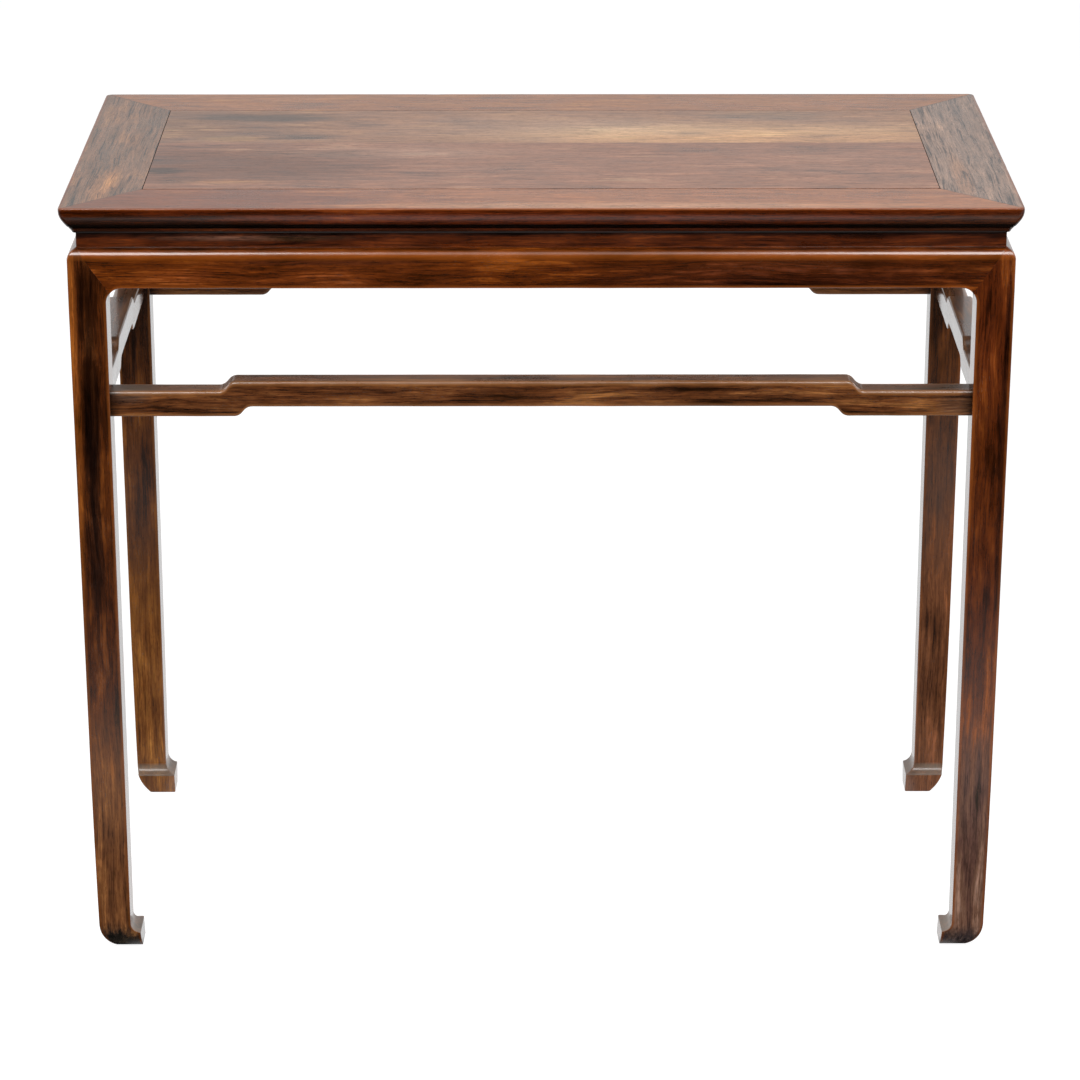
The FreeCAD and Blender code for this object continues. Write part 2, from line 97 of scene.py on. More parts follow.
def rounded(corners, cuts=4, shoulder=2.4):
    """Points round a section. Each corner (a, b, radius) becomes an arc between two points on the
    flats beside it; the third number of a point is 1 on an arc and 0 on a flat."""
    loop = []
    for i, (a, b, radius) in enumerate(corners):
        corner = Vector((a, b))
        before = Vector(corners[i - 1][:2]) - corner
        after = Vector(corners[(i + 1) % len(corners)][:2]) - corner
        room_before, room_after = before.length * 0.45, after.length * 0.45
        before.normalize()
        after.normalize()
        half = before.angle(after) / 2
        reach = min(radius / math.tan(half), room_before, room_after) if half < 1.55 else 0.0
        loop.append((corner + before * min(reach + shoulder, room_before), 0.0))
        if reach < 1e-4:
            spread = min(0.02, room_before, room_after)
            for j in range(cuts + 1):
                t = 2 * j / cuts - 1
                loop.append((corner + (after if t > 0 else before) * abs(t) * spread, 0.0))
        else:
            radius = reach * math.tan(half)
            centre = corner + (before + after).normalized() * (radius / math.sin(half))
            start, end = corner + before * reach - centre, corner + after * reach - centre
            sweep = math.pi - 2 * half
            for j in range(cuts + 1):
                t = j / cuts
                turned = (start * math.sin((1 - t) * sweep) + end * math.sin(t * sweep)) / math.sin(sweep)
                loop.append((centre + turned, 1.0 if radius > 0.5 else 0.0))
        loop.append((corner + after * min(reach + shoulder, room_after), 0.0))
    return [(point.x, point.y, arris) for point, arris in loop]


def uneven(base, place, spread, seed):
    """A radius that wanders along a piece in waves of some 47 and 13 mm, as a hand plane and wear
    leave it."""
    wander = noise.noise(Vector((place / 47.0, seed, 0)))
    wander += 0.6 * noise.noise(Vector((place / 13.0, seed, 7)))
    return max(base * (1 + spread * wander), base * 0.35)


def dress(node, rings, material):
    """Skins a list of equal rings of points (x, y, z and a mark) in millimetres and closes both ends. The
    mark is 1 where an arris is rubbed clean, on the crown partly a painted highlight, and -1 where dirt and
    painted shade darken a corner or underside. The piece stands for its CAD node and rides on the table."""
    size = len(rings[0])
    rows = len(rings)
    mesh = bpy.data.meshes.new(node + "_waxed")
    faces = []
    for row in range(rows - 1):
        here, beyond = row * size, (row + 1) * size
        for i in range(size):
            after = (i + 1) % size
            faces.append((here + i, here + after, beyond + after, beyond + i))
    faces += [tuple(range(size)), tuple(range((rows - 1) * size, rows * size))]
    points = [point for ring in rings for point in ring]
    mesh.from_pydata([(x / 1000, y / 1000, z / 1000) for x, y, z, wear_and_shade in points], [], faces)
    wear_and_shade_layer = mesh.attributes.new("wear_and_shade", "FLOAT", "POINT")
    wear_and_shade_layer.data.foreach_set("value", [wear_and_shade for x, y, z, wear_and_shade in points])
    work = bmesh.new()
    work.from_mesh(mesh)
    bmesh.ops.remove_doubles(work, verts=work.verts, dist=3e-6)
    bmesh.ops.dissolve_degenerate(work, edges=work.edges, dist=2e-6)
    bmesh.ops.recalc_face_normals(work, faces=work.faces)
    work.to_mesh(mesh)
    work.free()
    mesh.shade_smooth()
    mesh.set_sharp_from_angle(angle=math.radians(38))
    mesh.materials.append(material)
    piece = bpy.data.objects.new(node + "_waxed", mesh)
    bpy.context.scene.collection.objects.link(piece)
    piece.modifiers.new("flats stay flat", "WEIGHTED_NORMAL").keep_sharp = True
    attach(piece, "root")
    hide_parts(node)
    return piece


def colour(code):
    """sRGB hex to the linear colour that a shader takes."""
    parts = [int(code[i:i + 2], 16) / 255 for i in (1, 3, 5)]
    return tuple(c / 12.92 if c <= 0.04045 else ((c + 0.055) / 1.055) ** 2.4 for c in parts) + (1.0,)


def add(tree, kind, links=(), **settings):
    """Adds a node with its settings; links gives its inputs values or other nodes' outputs."""
    made = tree.nodes.new(kind)
    for key, value in settings.items():
        setattr(made, key, value)
    for socket, source in dict(links).items():
        if isinstance(source, bpy.types.NodeSocket):
            tree.links.new(source, made.inputs[socket])
        else:
            made.inputs[socket].default_value = source
    return made


shaded_below, sunned_above = 0.8331, 0.8346     # heights in metres
no_dust_above, dusty_below = 0.70, 0.65


def rosewood(name, grain, seed, tones, sunned=None, polish=0.2, gloss=0.7, streak=1.0, vein=0.6,
             mottle=0.7, fine=1.0, rub_and_highlight=1.0, dusty=0.8, patches=()):
    """Rosewood planed by hand and waxed. Its heartwood runs from orange brown to nearly black, with
    thin dark veins, the pores show as short dark dashes, and the wax leaves a soft, broken gloss.
    tones go from the darkest streak to the palest wood, sunned are those of a bleached top face; patches
    are places of another tone, and some of them are painted shade, painted highlights and painted
    reflections."""
    wood = bpy.data.materials.new(name)
    wood.use_nodes = True
    tree = wood.node_tree
    shader = tree.nodes["Principled BSDF"]
    place = add(tree, "ShaderNodeTexCoord").outputs["Object"]
    apart = add(tree, "ShaderNodeSeparateXYZ", {0: place})
    order = {"x": "XYZ", "y": "YXZ", "z": "ZXY"}[grain]
    fibre_wise = add(tree, "ShaderNodeCombineXYZ", {i: apart.outputs[axis] for i, axis in enumerate(order)})
    plank = (seed * 3.7, seed * 1.3, seed * 2.1)        # each piece is cut from another place
    moved = add(tree, "ShaderNodeVectorMath", {0: fibre_wise.outputs[0], 1: plank})
    # the grain wanders a few millimetres from straight over a length of about 200 mm
    slow = add(tree, "ShaderNodeVectorMath", {0: moved.outputs[0], 1: (5.0, 10.0, 10.0)},
               operation="MULTIPLY")
    sway = add(tree, "ShaderNodeTexNoise", {"Vector": slow.outputs[0], "Scale": 1.0, "Detail": 2.0})
    sway = add(tree, "ShaderNodeVectorMath", {0: sway.outputs["Color"], 1: (0.5, 0.5, 0.5)},
               operation="SUBTRACT")
    sway = add(tree, "ShaderNodeVectorMath", {0: sway.outputs[0], 1: (0.0, 0.016, 0.016)},
               operation="MULTIPLY")
    along = add(tree, "ShaderNodeVectorMath", {0: moved.outputs[0], 1: sway.outputs[0]})

    # figure: size along the grain, size across it (metres), detail
    figure = {}
    for part, length, width, detail in (
            ("cloud", 0.11, 0.042, 5.0),     # broad paler and darker areas
            ("band", 0.12, 0.0080, 5.0),     # heartwood streaks
            ("vein", 0.11, 0.0021, 4.0),     # thin dark veins
            ("line", 0.050, 0.0014, 4.0),    # growth lines
            ("pore", 0.009, 0.0009, 2.0)):   # real pores are 0.2 mm wide, too fine to show
        scale = (1 / length, 1 / width, 1 / width)
        scaled = add(tree, "ShaderNodeVectorMath", {0: along.outputs[0], 1: scale}, operation="MULTIPLY")
        figure[part] = add(tree, "ShaderNodeTexNoise", {
            "Vector": scaled.outputs[0], "Scale": 1.0, "Detail": detail, "Roughness": 0.65}).outputs["Fac"]

    tone = 0.5
    for part, weight in (("cloud", mottle), ("band", 1.2 * streak)):
        shift = add(tree, "ShaderNodeMath", {0: figure[part], 1: 0.5}, operation="SUBTRACT")
        tone = add(tree, "ShaderNodeMath", {0: shift.outputs[0], 1: weight, 2: tone},
                   operation="MULTIPLY_ADD").outputs[0]
    shades = []
    for codes in (tones, sunned or tones):
        ramp = add(tree, "ShaderNodeValToRGB", {0: tone})
        stops = ramp.color_ramp.elements
        while len(stops) < len(codes):
            stops.new(0.5)
        for i, (stop, code) in enumerate(zip(stops, codes)):
            stop.position = 0.27 + 0.46 * i / (len(codes) - 1)
            stop.color = colour(code)
        shades.append(ramp.outputs["Color"])
    # the sun has only reached the flat of the top, not the moulded edge below it
    height = add(tree, "ShaderNodeMapRange", {0: apart.outputs["Z"], 1: shaded_below, 2: sunned_above})
    shade = add(tree, "ShaderNodeMix", {0: height.outputs[0], 6: shades[0], 7: shades[1]},
                data_type="RGBA").outputs[2]

    # each patch: centre and half sizes in millimetres, what its middle tone becomes, strength
    middle = [(a + b) / 2 for a, b in zip(*(colour(code) for code in (sunned or tones)[1:3]))]
    for centre, reach, code, strength in patches:
        off = add(tree, "ShaderNodeVectorMath", {0: place, 1: [c / 1000 for c in centre]},
                  operation="SUBTRACT")
        off = add(tree, "ShaderNodeVectorMath", {0: off.outputs[0], 1: [1000 / r for r in reach]},
                  operation="MULTIPLY")
        off = add(tree, "ShaderNodeVectorMath", {0: off.outputs[0]}, operation="LENGTH")
        ragged = add(tree, "ShaderNodeMath", {0: figure["band"], 1: 1.5, 2: -1.3}, operation="MULTIPLY_ADD")
        ragged = add(tree, "ShaderNodeMath", {0: figure["cloud"], 1: 1.1, 2: ragged.outputs[0]},
                     operation="MULTIPLY_ADD")
        off = add(tree, "ShaderNodeMath", {0: off.outputs["Value"], 1: ragged.outputs[0]})
        held = add(tree, "ShaderNodeMapRange", {0: off.outputs[0], 1: 1.45, 2: 0.45, 3: 0.0, 4: strength},
                   interpolation_type="SMOOTHSTEP")
        ratio = [a / b for a, b in zip(colour(code)[:3], middle)]
        other = add(tree, "ShaderNodeVectorMath", {0: shade, 1: ratio}, operation="MULTIPLY")
        shade = add(tree, "ShaderNodeMix", {0: held.outputs[0], 6: shade, 7: other.outputs[0]},
                    data_type="RGBA").outputs[2]

    # growth lines go over all of it; veins and pores are darker than the wood round them
    contrast = 0.75 * fine
    lines = add(tree, "ShaderNodeMapRange", {
        0: figure["line"], 1: 0.25, 2: 0.75, 3: 1 - contrast, 4: 1 + contrast}, clamp=False)
    shade = add(tree, "ShaderNodeVectorMath", {0: shade, "Scale": lines.outputs[0]},
                operation="SCALE").outputs[0]
    veined = add(tree, "ShaderNodeMath", {0: figure["band"], 1: 0.5, 2: figure["vein"]},
                 operation="MULTIPLY_ADD")
    veined = add(tree, "ShaderNodeMapRange", {0: veined.outputs[0], 1: 0.70, 2: 0.58, 3: 0.0, 4: vein},
                 interpolation_type="SMOOTHSTEP")
    dash = add(tree, "ShaderNodeMapRange", {0: figure["pore"], 1: 0.54, 2: 0.66, 3: 0.0, 4: 0.65 * fine})
    for mask in (veined, dash):
        deeper = add(tree, "ShaderNodeVectorMath", {0: shade, 1: (0.16, 0.12, 0.10)}, operation="MULTIPLY")
        shade = add(tree, "ShaderNodeMix", {0: mask.outputs[0], 6: shade, 7: deeper.outputs[0]},
                    data_type="RGBA").outputs[2]
    # worn arrises show paler, cleaner wood, on the crown partly as a painted highlight; corners and
    # undersides are darkened with dirt and painted shade
    wear_and_shade = add(tree, "ShaderNodeAttribute", attribute_name="wear_and_shade").outputs["Fac"]
    for limit, code, strength in ((1.0, tones[-1], 1.15 * rub_and_highlight), (-1.0, "#080301", 2.6)):
        mask = add(tree, "ShaderNodeMapRange", {0: wear_and_shade, 1: 0.0, 2: limit, 3: 0.0, 4: strength})
        mask = add(tree, "ShaderNodeMath", {0: mask.outputs[0], 1: figure["cloud"]},
                   operation="MULTIPLY", use_clamp=True)
        shade = add(tree, "ShaderNodeMix", {0: mask.outputs[0], 6: shade, 7: colour(code)},
                    data_type="RGBA").outputs[2]
    # dust lies on whatever faces up below the top: the stretchers and the scoops of the feet
    facing = add(tree, "ShaderNodeSeparateXYZ", {0: add(tree, "ShaderNodeNewGeometry").outputs["Normal"]})
    flat = add(tree, "ShaderNodeMapRange", {0: facing.outputs["Z"], 1: 0.04, 2: 0.28})
    low = add(tree, "ShaderNodeMapRange", {0: apart.outputs["Z"], 1: no_dust_above, 2: dusty_below})
    dust = add(tree, "ShaderNodeMath", {0: flat.outputs[0], 1: low.outputs[0]}, operation="MULTIPLY")
    patchy = add(tree, "ShaderNodeMapRange", {
        0: figure["cloud"], 1: 0.3, 2: 0.65, 3: 0.2 * dusty, 4: dusty})
    dust = add(tree, "ShaderNodeMath", {0: dust.outputs[0], 1: patchy.outputs[0]}, operation="MULTIPLY")
    shade = add(tree, "ShaderNodeMix", {0: dust.outputs[0], 6: shade, 7: colour("#7d7163")},
                data_type="RGBA").outputs[2]
    tree.links.new(shade, shader.inputs["Base Color"])

    # the wax is rougher in the pores, on a bleached top and under dust, and gone where dirt and painted
    # shade sit
    dull = add(tree, "ShaderNodeMapRange", {
        0: figure["cloud"], 1: 0.3, 2: 0.7, 3: polish - 0.04, 4: polish + 0.08})
    for mask, rougher in ((dash, 0.08), (height, 0.1 if sunned else 0.0), (dust, 0.35)):
        dull = add(tree, "ShaderNodeMath", {0: mask.outputs[0], 1: rougher, 2: dull.outputs[0]},
                   operation="MULTIPLY_ADD")
    tree.links.new(dull.outputs[0], shader.inputs["Roughness"])
    wax = add(tree, "ShaderNodeMapRange", {0: wear_and_shade, 1: 0.0, 2: -1.0, 3: gloss, 4: gloss * 0.12})
    tree.links.new(wax.outputs[0], shader.inputs["Coat Weight"])
    relief = add(tree, "ShaderNodeMath", {0: dash.outputs[0], 1: -0.3, 2: figure["band"]},
                 operation="MULTIPLY_ADD")
    relief = add(tree, "ShaderNodeMath", {0: figure["cloud"], 1: 4.0, 2: relief.outputs[0]},
                 operation="MULTIPLY_ADD")
    bump = add(tree, "ShaderNodeBump", {"Height": relief.outputs[0], "Strength": 0.25, "Distance": 0.0003})
    tree.links.new(bump.outputs[0], shader.inputs["Normal"])
    shader.inputs["IOR"].default_value = 1.52
    shader.inputs["Coat Roughness"].default_value = 0.12
    shader.inputs["Coat IOR"].default_value = 1.45
    return wood


crown_foot = leg_top - crown_drop       # where the sloping shoulder would meet the upright face
crown_reach = crown_radius * math.tan(math.atan2(ledge, crown_drop) / 2)
crown_start = crown_foot - crown_reach
crown_end = crown_foot + crown_reach * crown_drop / math.hypot(ledge, crown_drop)
crown_heights = [crown_start - 1.2] + [crown_start + (crown_end - crown_start) * i / 10 for i in range(11)]
crown_heights += [crown_end + (leg_top - crown_end) * i / 4 for i in range(1, 4)] + [leg_top - 0.05]


def crown(z):
    """How far the crowned shoulder of a leg or apron has come in at a height."""
    if z <= crown_start:
        return 0.0
    if z <= crown_end:
        return crown_radius - math.sqrt(crown_radius ** 2 - (z - crown_start) ** 2)
    return (z - crown_foot) * ledge / crown_drop


def crown_wear_and_painted_light(z):
    """Rubbed pale on the round of the shoulder, partly a painted highlight; the slope behind it is darkened
    with painted shade.
    """
    if z > leg_top - 1.0:
        return 0.0
    if z > crown_end + 0.3:
        return -0.22
    middle = (crown_start + crown_end) / 2 + 1.0
    fade = middle - crown_start + 1.5 if z < middle else crown_end + 0.3 - middle
    return max(0.0, 1 - abs(z - middle) / fade) ** 0.7


def leg_outer(z):
    """Outer face of a leg, inwards from its corner: taper, shin and the curve of the foot."""
    if z >= ear_centre[1]:
        return crown(z)
    if z >= taper_height:
        return taper_inset * (ear_centre[1] - z) / (ear_centre[1] - taper_height)
    if z >= ankle_height:
        t = (taper_height - z) / (taper_height - ankle_height)
        return taper_inset + (ankle_inset - taper_inset) * t - 4 * shin_bow * t * (1 - t)
    run = sole_inset - ankle_inset
    radius = (run ** 2 + ankle_height ** 2) / (2 * run)
    return ankle_inset + radius - math.sqrt(radius ** 2 - (ankle_height - z) ** 2)


def leg_inner(z):
    """Inner face of a leg: straight down to the gouged scoop, then the tip of the hoof."""
    tip = leg_side + hoof_reach
    scoop_top = hoof_height + math.sqrt(scoop_radius ** 2 - (scoop_radius - hoof_reach) ** 2)
    if z >= scoop_top:
        return leg_side
    face = tip + hoof_slant * max(hoof_height - z, 0) / hoof_height
    round_from = hoof_height - tip_round
    if z > round_from:
        face = tip - tip_round + math.sqrt(max(tip_round ** 2 - (z - round_from) ** 2, 0))
    if z <= round_from:
        return face
    scoop = leg_side + scoop_radius - math.sqrt(scoop_radius ** 2 - min(scoop_top - z, scoop_radius) ** 2)
    return min(face, scoop) if z < hoof_height else scoop


def mitre_reach(z):
    """Edge of a leg's face where it meets the apron: rounded ear below, mitre above."""
    if z <= ear_centre[1]:
        return leg_inner(z)
    mitre = leg_side - (z - leg_foot_of_mitre) / mitre_slope
    if z >= leg_foot_of_mitre:
        return mitre
    return min(mitre, ear_centre[0] - math.sqrt(ear_radius ** 2 - (z - ear_centre[1]) ** 2))


def leg_ring(z, seed):
    """Section of a leg at a height, in its corner frame."""
    sole = sole_round - math.sqrt(sole_round ** 2 - (sole_round - min(z, sole_round)) ** 2)
    outer = leg_outer(z) + sole
    inner = leg_inner(z) - sole
    edge = mitre_reach(z) - sole
    free = z < leg_foot_of_mitre - clear_of_ear
    back = ear_thickness if z < leg_foot_of_mitre else ledge
    long_arris = uneven(leg_arris, z, 0.35, seed)
    edge_arris = uneven(leg_arris * edge_arris_share, z, 0.35, seed + 3) if free else tight
    step_start = max(back - 0.3, outer + 0.05)
    step_end = max(back + 0.3, step_start + 0.1)
    return rounded([
        (outer, outer, long_arris),
        (edge, outer, edge_arris), (edge, step_start, 0.0), (inner, step_end, 0.0),
        (inner, inner, leg_arris * back_arris_share),
        (step_end, inner, 0.0), (step_start, edge, 0.0), (outer, edge, edge_arris)])


foot_heights = [
    0, 0.15, 0.4, 0.8, 1.3, 2.5, 4.5, 7, 10, 13, 16, 19, 20.8, 21.0, 21.2, 21.35, 21.48, 21.56, 21.61, 21.7,
    21.85, 22.1, 22.5, 23, 23.7, 24.6, 25.7, 27, 28.5, 30.2, 32, 33.5, 36, 42, 50, 65]
shaft_heights = [80 + 18 * i for i in range(36)]
head_heights = [
    726, 730, 733.1, 734.5, 736, 738, 740, 741.5, 742.8, 743.5, 744.5, 746, 747.5, 749.0, 749.2, 752, 757,
    763, 769, 774] + crown_heights

leg_tones = {
    "front_left": ["#1a0900", "#3f1b05", "#572909", "#834615"],
    "front_right": ["#200a00", "#4c1f05", "#642d08", "#8c4814"],
    "back_left": ["#281204", "#4d260a", "#643611", "#8b521d"],
    "back_right": ["#2a1304", "#50290b", "#663712", "#86491b"]}
leg_patches = {
    "front_left": [
        ((-464, -243, 650), (9, 30, 170), "#200c03", 0.9),
        ((-466, -243, 470), (9, 30, 110), "#241007", 0.7),
        ((-465, -243, 350), (60, 30, 50), "#3a1a08", 0.6),
        ((-481, -243, 640), (5, 30, 230), "#94501a", 0.85),
        ((-465, -240, 70), (60, 40, 180), "#7a4b28", 0.95),
        # painted shade: darker towards the sole
        ((-465, -240, 0), (60, 40, 27), "#1d1206", 1.0)],
    "front_right": [
        ((465, -243, 700), (40, 30, 90), "#5c260a", 0.6),
        ((479, -243, 620), (5, 30, 170), "#1f0c04", 0.6),
        ((465, -240, 80), (60, 40, 175), "#704f40", 0.9),
        # painted shade: darker towards the sole
        ((465, -240, 0), (60, 40, 25), "#351c06", 0.9)],
    "back_left": [
        # painted shade: the rear leg darker at the top, under the table top
        ((-465, 205, 640), (60, 40, 110), "#24120a", 0.7),
        ((-465, 205, 70), (60, 40, 190), "#8a5424", 0.9)],
    "back_right": [
        # painted shade: the rear leg darker at the top, under the table top
        ((465, 205, 640), (60, 40, 70), "#2c170b", 0.6),
        ((465, 205, 100), (60, 40, 230), "#7b4a2c", 0.95)]}
for turn, (corner_name, x_sign, y_sign) in enumerate((
        ("front_left", -1, -1), ("front_right", 1, -1), ("back_left", -1, 1), ("back_right", 1, 1))):
    wood = rosewood("leg rosewood waxed " + corner_name, "z", 1.0 + turn * 2.3, leg_tones[corner_name],
                    streak=0.75, vein=0.4, mottle=0.9, fine=0.72, patches=leg_patches[corner_name])
    rings = []
    for z in foot_heights + shaft_heights + head_heights:
        ring = []
        for a, b, arris in leg_ring(z, turn * 11.0):
            x, y = x_sign * (leg_corner[0] - a), y_sign * (leg_corner[1] - b)
            ring.append((x, y, z, arris if z < crown_start else crown_wear_and_painted_light(z)))
        rings.append(ring)
    dress("leg_" + corner_name, rings, wood)

# ------------------------------------------------------------------ stretchers
# Humpback stretchers tie the legs on all four sides. Each is sawn to its crooked outline from a
# deeper plank, the cranks are eased with a spokeshave, and its tenons are mitred inside the legs.
stretcher_low, stretcher_deep, stretcher_thick = 610.0, 27.0, 27.0
hump = 10.5
crank_from_leg, crank_run, crank_radius = 116.0, 9.0, 11.0
crank_lag = 16.0            # the lower outline rises this much nearer to the middle
stretcher_arris = 1.8
hand_arris = 3.0            # the upper front arris, where everybody takes hold


def hump_height(x, crank):
    """Rise of the outline at x; the slope starts crank_run inside the crank and both bends are eased."""
    slope = math.atan2(hump, crank_run)
    ease = crank_radius * math.tan(slope / 2)
    run = crank - abs(x)
    if run <= -ease:
        return 0.0
    if run >= crank_run + ease:
        return hump
    upper = run - crank_run
    if run < ease * math.cos(slope):
        return crank_radius - math.sqrt(crank_radius ** 2 - (run + ease) ** 2)
    if upper > -ease * math.cos(slope):
        return hump - crank_radius + math.sqrt(crank_radius ** 2 - (upper - ease) ** 2)
    return run * hump / crank_run


def side_place(side, x, y, z, corner=leg_corner):
    """A point of a side's own frame (x along, y inwards from the legs' faces) in the table's."""
    end, front = corner
    return {
        "front": (x, y - front, z), "back": (-x, front - y, z),
        "left": (y - end, -x, z), "right": (end - y, x, z)}[side]


stretcher_patches = {
    "front": [
        ((-425, -235, 640), (25, 40, 14), "#4a4540", 0.55),
        ((430, -235, 620), (22, 40, 30), "#4a423b", 0.25)],
    "back": [], "left": [], "right": []}
side_spans = {"front": leg_corner[0], "back": leg_corner[0], "left": leg_corner[1], "right": leg_corner[1]}
side_grain = {"front": "x", "back": "x", "left": "y", "right": "y"}
for turn, (side, corner_reach) in enumerate(side_spans.items()):
    half = corner_reach - leg_side
    upper_crank = half - crank_from_leg
    lower_crank = upper_crank - crank_lag
    outer = (leg_side - stretcher_thick) / 2
    stations = {-half, half}
    stations.update(-half + (2 * half) * i / 60 for i in range(61))
    for crank in (upper_crank, lower_crank):
        for sign in (-1, 1):
            stations.update(sign * (crank + 5.5 - 1.1 * i) for i in range(19))
    rings = []
    for x in sorted(stations):
        low = stretcher_low + hump_height(x, lower_crank)
        high = stretcher_low + stretcher_deep + hump_height(x, upper_crank)
        soft = [uneven(hand_arris if k == 1 else stretcher_arris, x, 0.3, turn * 5 + k) for k in range(4)]
        section = rounded([
            (outer, low, soft[0]), (outer, high, soft[1]),
            (outer + stretcher_thick, high, soft[2]), (outer + stretcher_thick, low, soft[3])])
        near_leg = max(0.0, 1 - (half - abs(x)) / 8)        # dirt and painted shade in the corner with the leg
        ring = []
        for a, z, arris in section:
            ring.append(side_place(side, x, a, z) + (arris * (1 - near_leg) - 0.5 * near_leg,))
        rings.append(ring)
    wood = rosewood("stretcher rosewood waxed " + side, side_grain[side], 11.0 + turn * 1.9,
                    ["#291304", "#542d14", "#6e4020", "#966032"], dusty=0.3,
                    patches=stretcher_patches[side])
    dress("stretcher_" + side, rings, wood)

# ------------------------------------------------------------------ aprons
# A board on edge along each side, crowned along its top and mitred over the legs so that no end
# grain shows. It drops onto a dovetail pin behind each mitre, and runs into the leg in a round corner.
apron_bottom = leg_foot_of_mitre
apron_arris = 1.3
per_corner = 7              # points that rounded() gives to one corner


def apron_low(reach):
    """Height of an apron's lower edge at a distance from the leg's outer corner."""
    mitre = apron_bottom + (leg_side - reach) * mitre_slope
    if reach >= ear_centre[0]:
        return apron_bottom
    if reach <= leg_side:
        return mitre
    arc = ear_centre[1] + math.sqrt(ear_radius ** 2 - (ear_centre[0] - reach) ** 2)
    return max(mitre, arc)


# the mitre ends where its line meets the arc of the round corner
squares = 1 + mitre_slope ** 2
half_sum = ear_radius * (1 + mitre_slope)
mitre_end = leg_side + (half_sum - math.sqrt(half_sum ** 2 - squares * ear_radius ** 2)) / squares
apron_patches = {
    "front": [
        ((-400, -240, 757), (60, 30, 12), "#7c3c0e", 0.4),
        ((-200, -240, 777), (120, 30, 3), "#2a1206", 0.45),
        ((-230, -240, 764), (160, 30, 20), "#6a3110", 0.5),
        ((260, -240, 766), (240, 30, 30), "#3e1807", 0.9)],
    "back": [], "left": [], "right": []}
for turn, (side, corner_reach) in enumerate(side_spans.items()):
    skin = [ledge + 0.05 + (mitre_end - ledge - 0.05) * i / 14 for i in range(15)]      # over the leg
    corner = [mitre_end + 0.02 + (ear_centre[0] - mitre_end - 0.02) * (i / 9) ** 1.5 for i in range(10)]
    middle = [ear_centre[0] + (corner_reach - ear_centre[0]) * i / 30 for i in range(1, 31)]
    run = [(r, ledge - 0.1, tight) for r in skin]
    for r in corner + middle:
        run.append((r, ear_thickness, min(tight + (r - mitre_end) * 0.25, 1.0) * apron_arris))
    left = [(-corner_reach + r, back, arris) for r, back, arris in run]
    right = [(-x, back, arris) for x, back, arris in reversed(left[:-1])]
    rings = []
    for x, back, arris in left + right:
        low = apron_low(corner_reach - abs(x))
        soft = uneven(arris, x, 0.3, turn * 7.0) if arris > 0.5 else arris
        foot = crown(low)
        bottom = rounded([
            (back, low, 0.0 if back < ear_thickness else soft), (foot, low, soft),
            (foot + 0.001, max(low + 8, leg_top), 0.0), (back, leg_top, 0.0)])
        bottom_back = bottom[:per_corner]
        bottom_front = bottom[per_corner:2 * per_corner]
        if low > crown_start - 5:
            rises = [min(low + 0.02 * i, leg_top) for i in range(per_corner)]
            bottom_front = [(crown(z), z, 0.0) for z in rises]
        above = bottom_front[-1][1]
        face = [(crown(max(z, above)), max(z, above)) for z in [above + 0.1] + crown_heights]
        # the inner face and the back of the top edge are darkened with painted shade, under the table
        ring = [(a, z, mark if a < back - 2 else -0.6) for a, z, mark in bottom_back]
        ring += [(a, z, mark if z < crown_start else crown_wear_and_painted_light(z)) for a, z, mark in bottom_front]
        ring += [(a, z, crown_wear_and_painted_light(z)) for a, z in face]
        ring += [(back, leg_top, -0.6)]
        rings.append([side_place(side, x, a, z) + (mark,) for a, z, mark in ring])
    # a stronger pale rub on the apron's arrises, which on its crown is a painted highlight
    wood = rosewood("apron rosewood waxed " + side, side_grain[side], 21.0 + turn * 1.7,
                    ["#200900", "#471c02", "#5d2803", "#8c4711"], polish=0.18, streak=0.9,
                    rub_and_highlight=1.35, patches=apron_patches[side])
    dress("apron_" + side, rings, wood)

# ------------------------------------------------------------------ waist
# Thin strips set back between the frame and the aprons, and tongued into both. Wax and dust gather here, so
# they stay the darkest wood of the table, and a painted shade darkens them under the frame. Their solids
# are plain and keep their surface.
waist_patches = [
    ((0, 0, 808.5), (4000, 4000, 5), "#120602", 0.9),       # painted shade, with dirt, all along under the frame
    ((-300, -230, 800), (90, 30, 3), "#6e5040", 0.5),
    ((330, -230, 800), (220, 30, 30), "#471b05", 0.6)]
for turn, side in enumerate(side_spans):
    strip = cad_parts["waist_" + side]
    strip.data.materials.clear()
    strip.data.materials.append(rosewood(
        "waist rosewood waxed " + side, side_grain[side], 31.0 + turn * 1.3,
        ["#200a00", "#471a02", "#5f2705", "#7e390a"], polish=0.28, gloss=0.5, streak=0.7,
        patches=waist_patches))

# ------------------------------------------------------------------ top frame
# Four broad members, mitred at the corners with the long ones tenoned into the short. The edge rounds in
# below its widest line to a quirk, a narrow groove black with old wax and painted shade, and has a lip
# under that; the lower round that faces down and the lip's underside are darkened with painted shade.
# The end members were cut from strongly streaked planks.
rail_wide, rail_deep = 79.0, 28.5
arris_drop = 3.1                        # the widest line is this far below the top
arris_soft = 1.6                        # how round the arris above it has worn
edge_radius, edge_turn = 22.0, 27.0     # the edge rounds quickly at first, through this many degrees,
lower_radius, lower_turn = 61.3, 36.0   # and then more gently down to the quirk
quirk_deep = 1.6
lip_high = 6.8
lip_foot, lip_head = 12.0, 9.0          # the lip's foot and head, inwards from the widest line
corner_round = 6.0
table_top = cad_high.z * 1000
rail_bottom = table_top - rail_deep


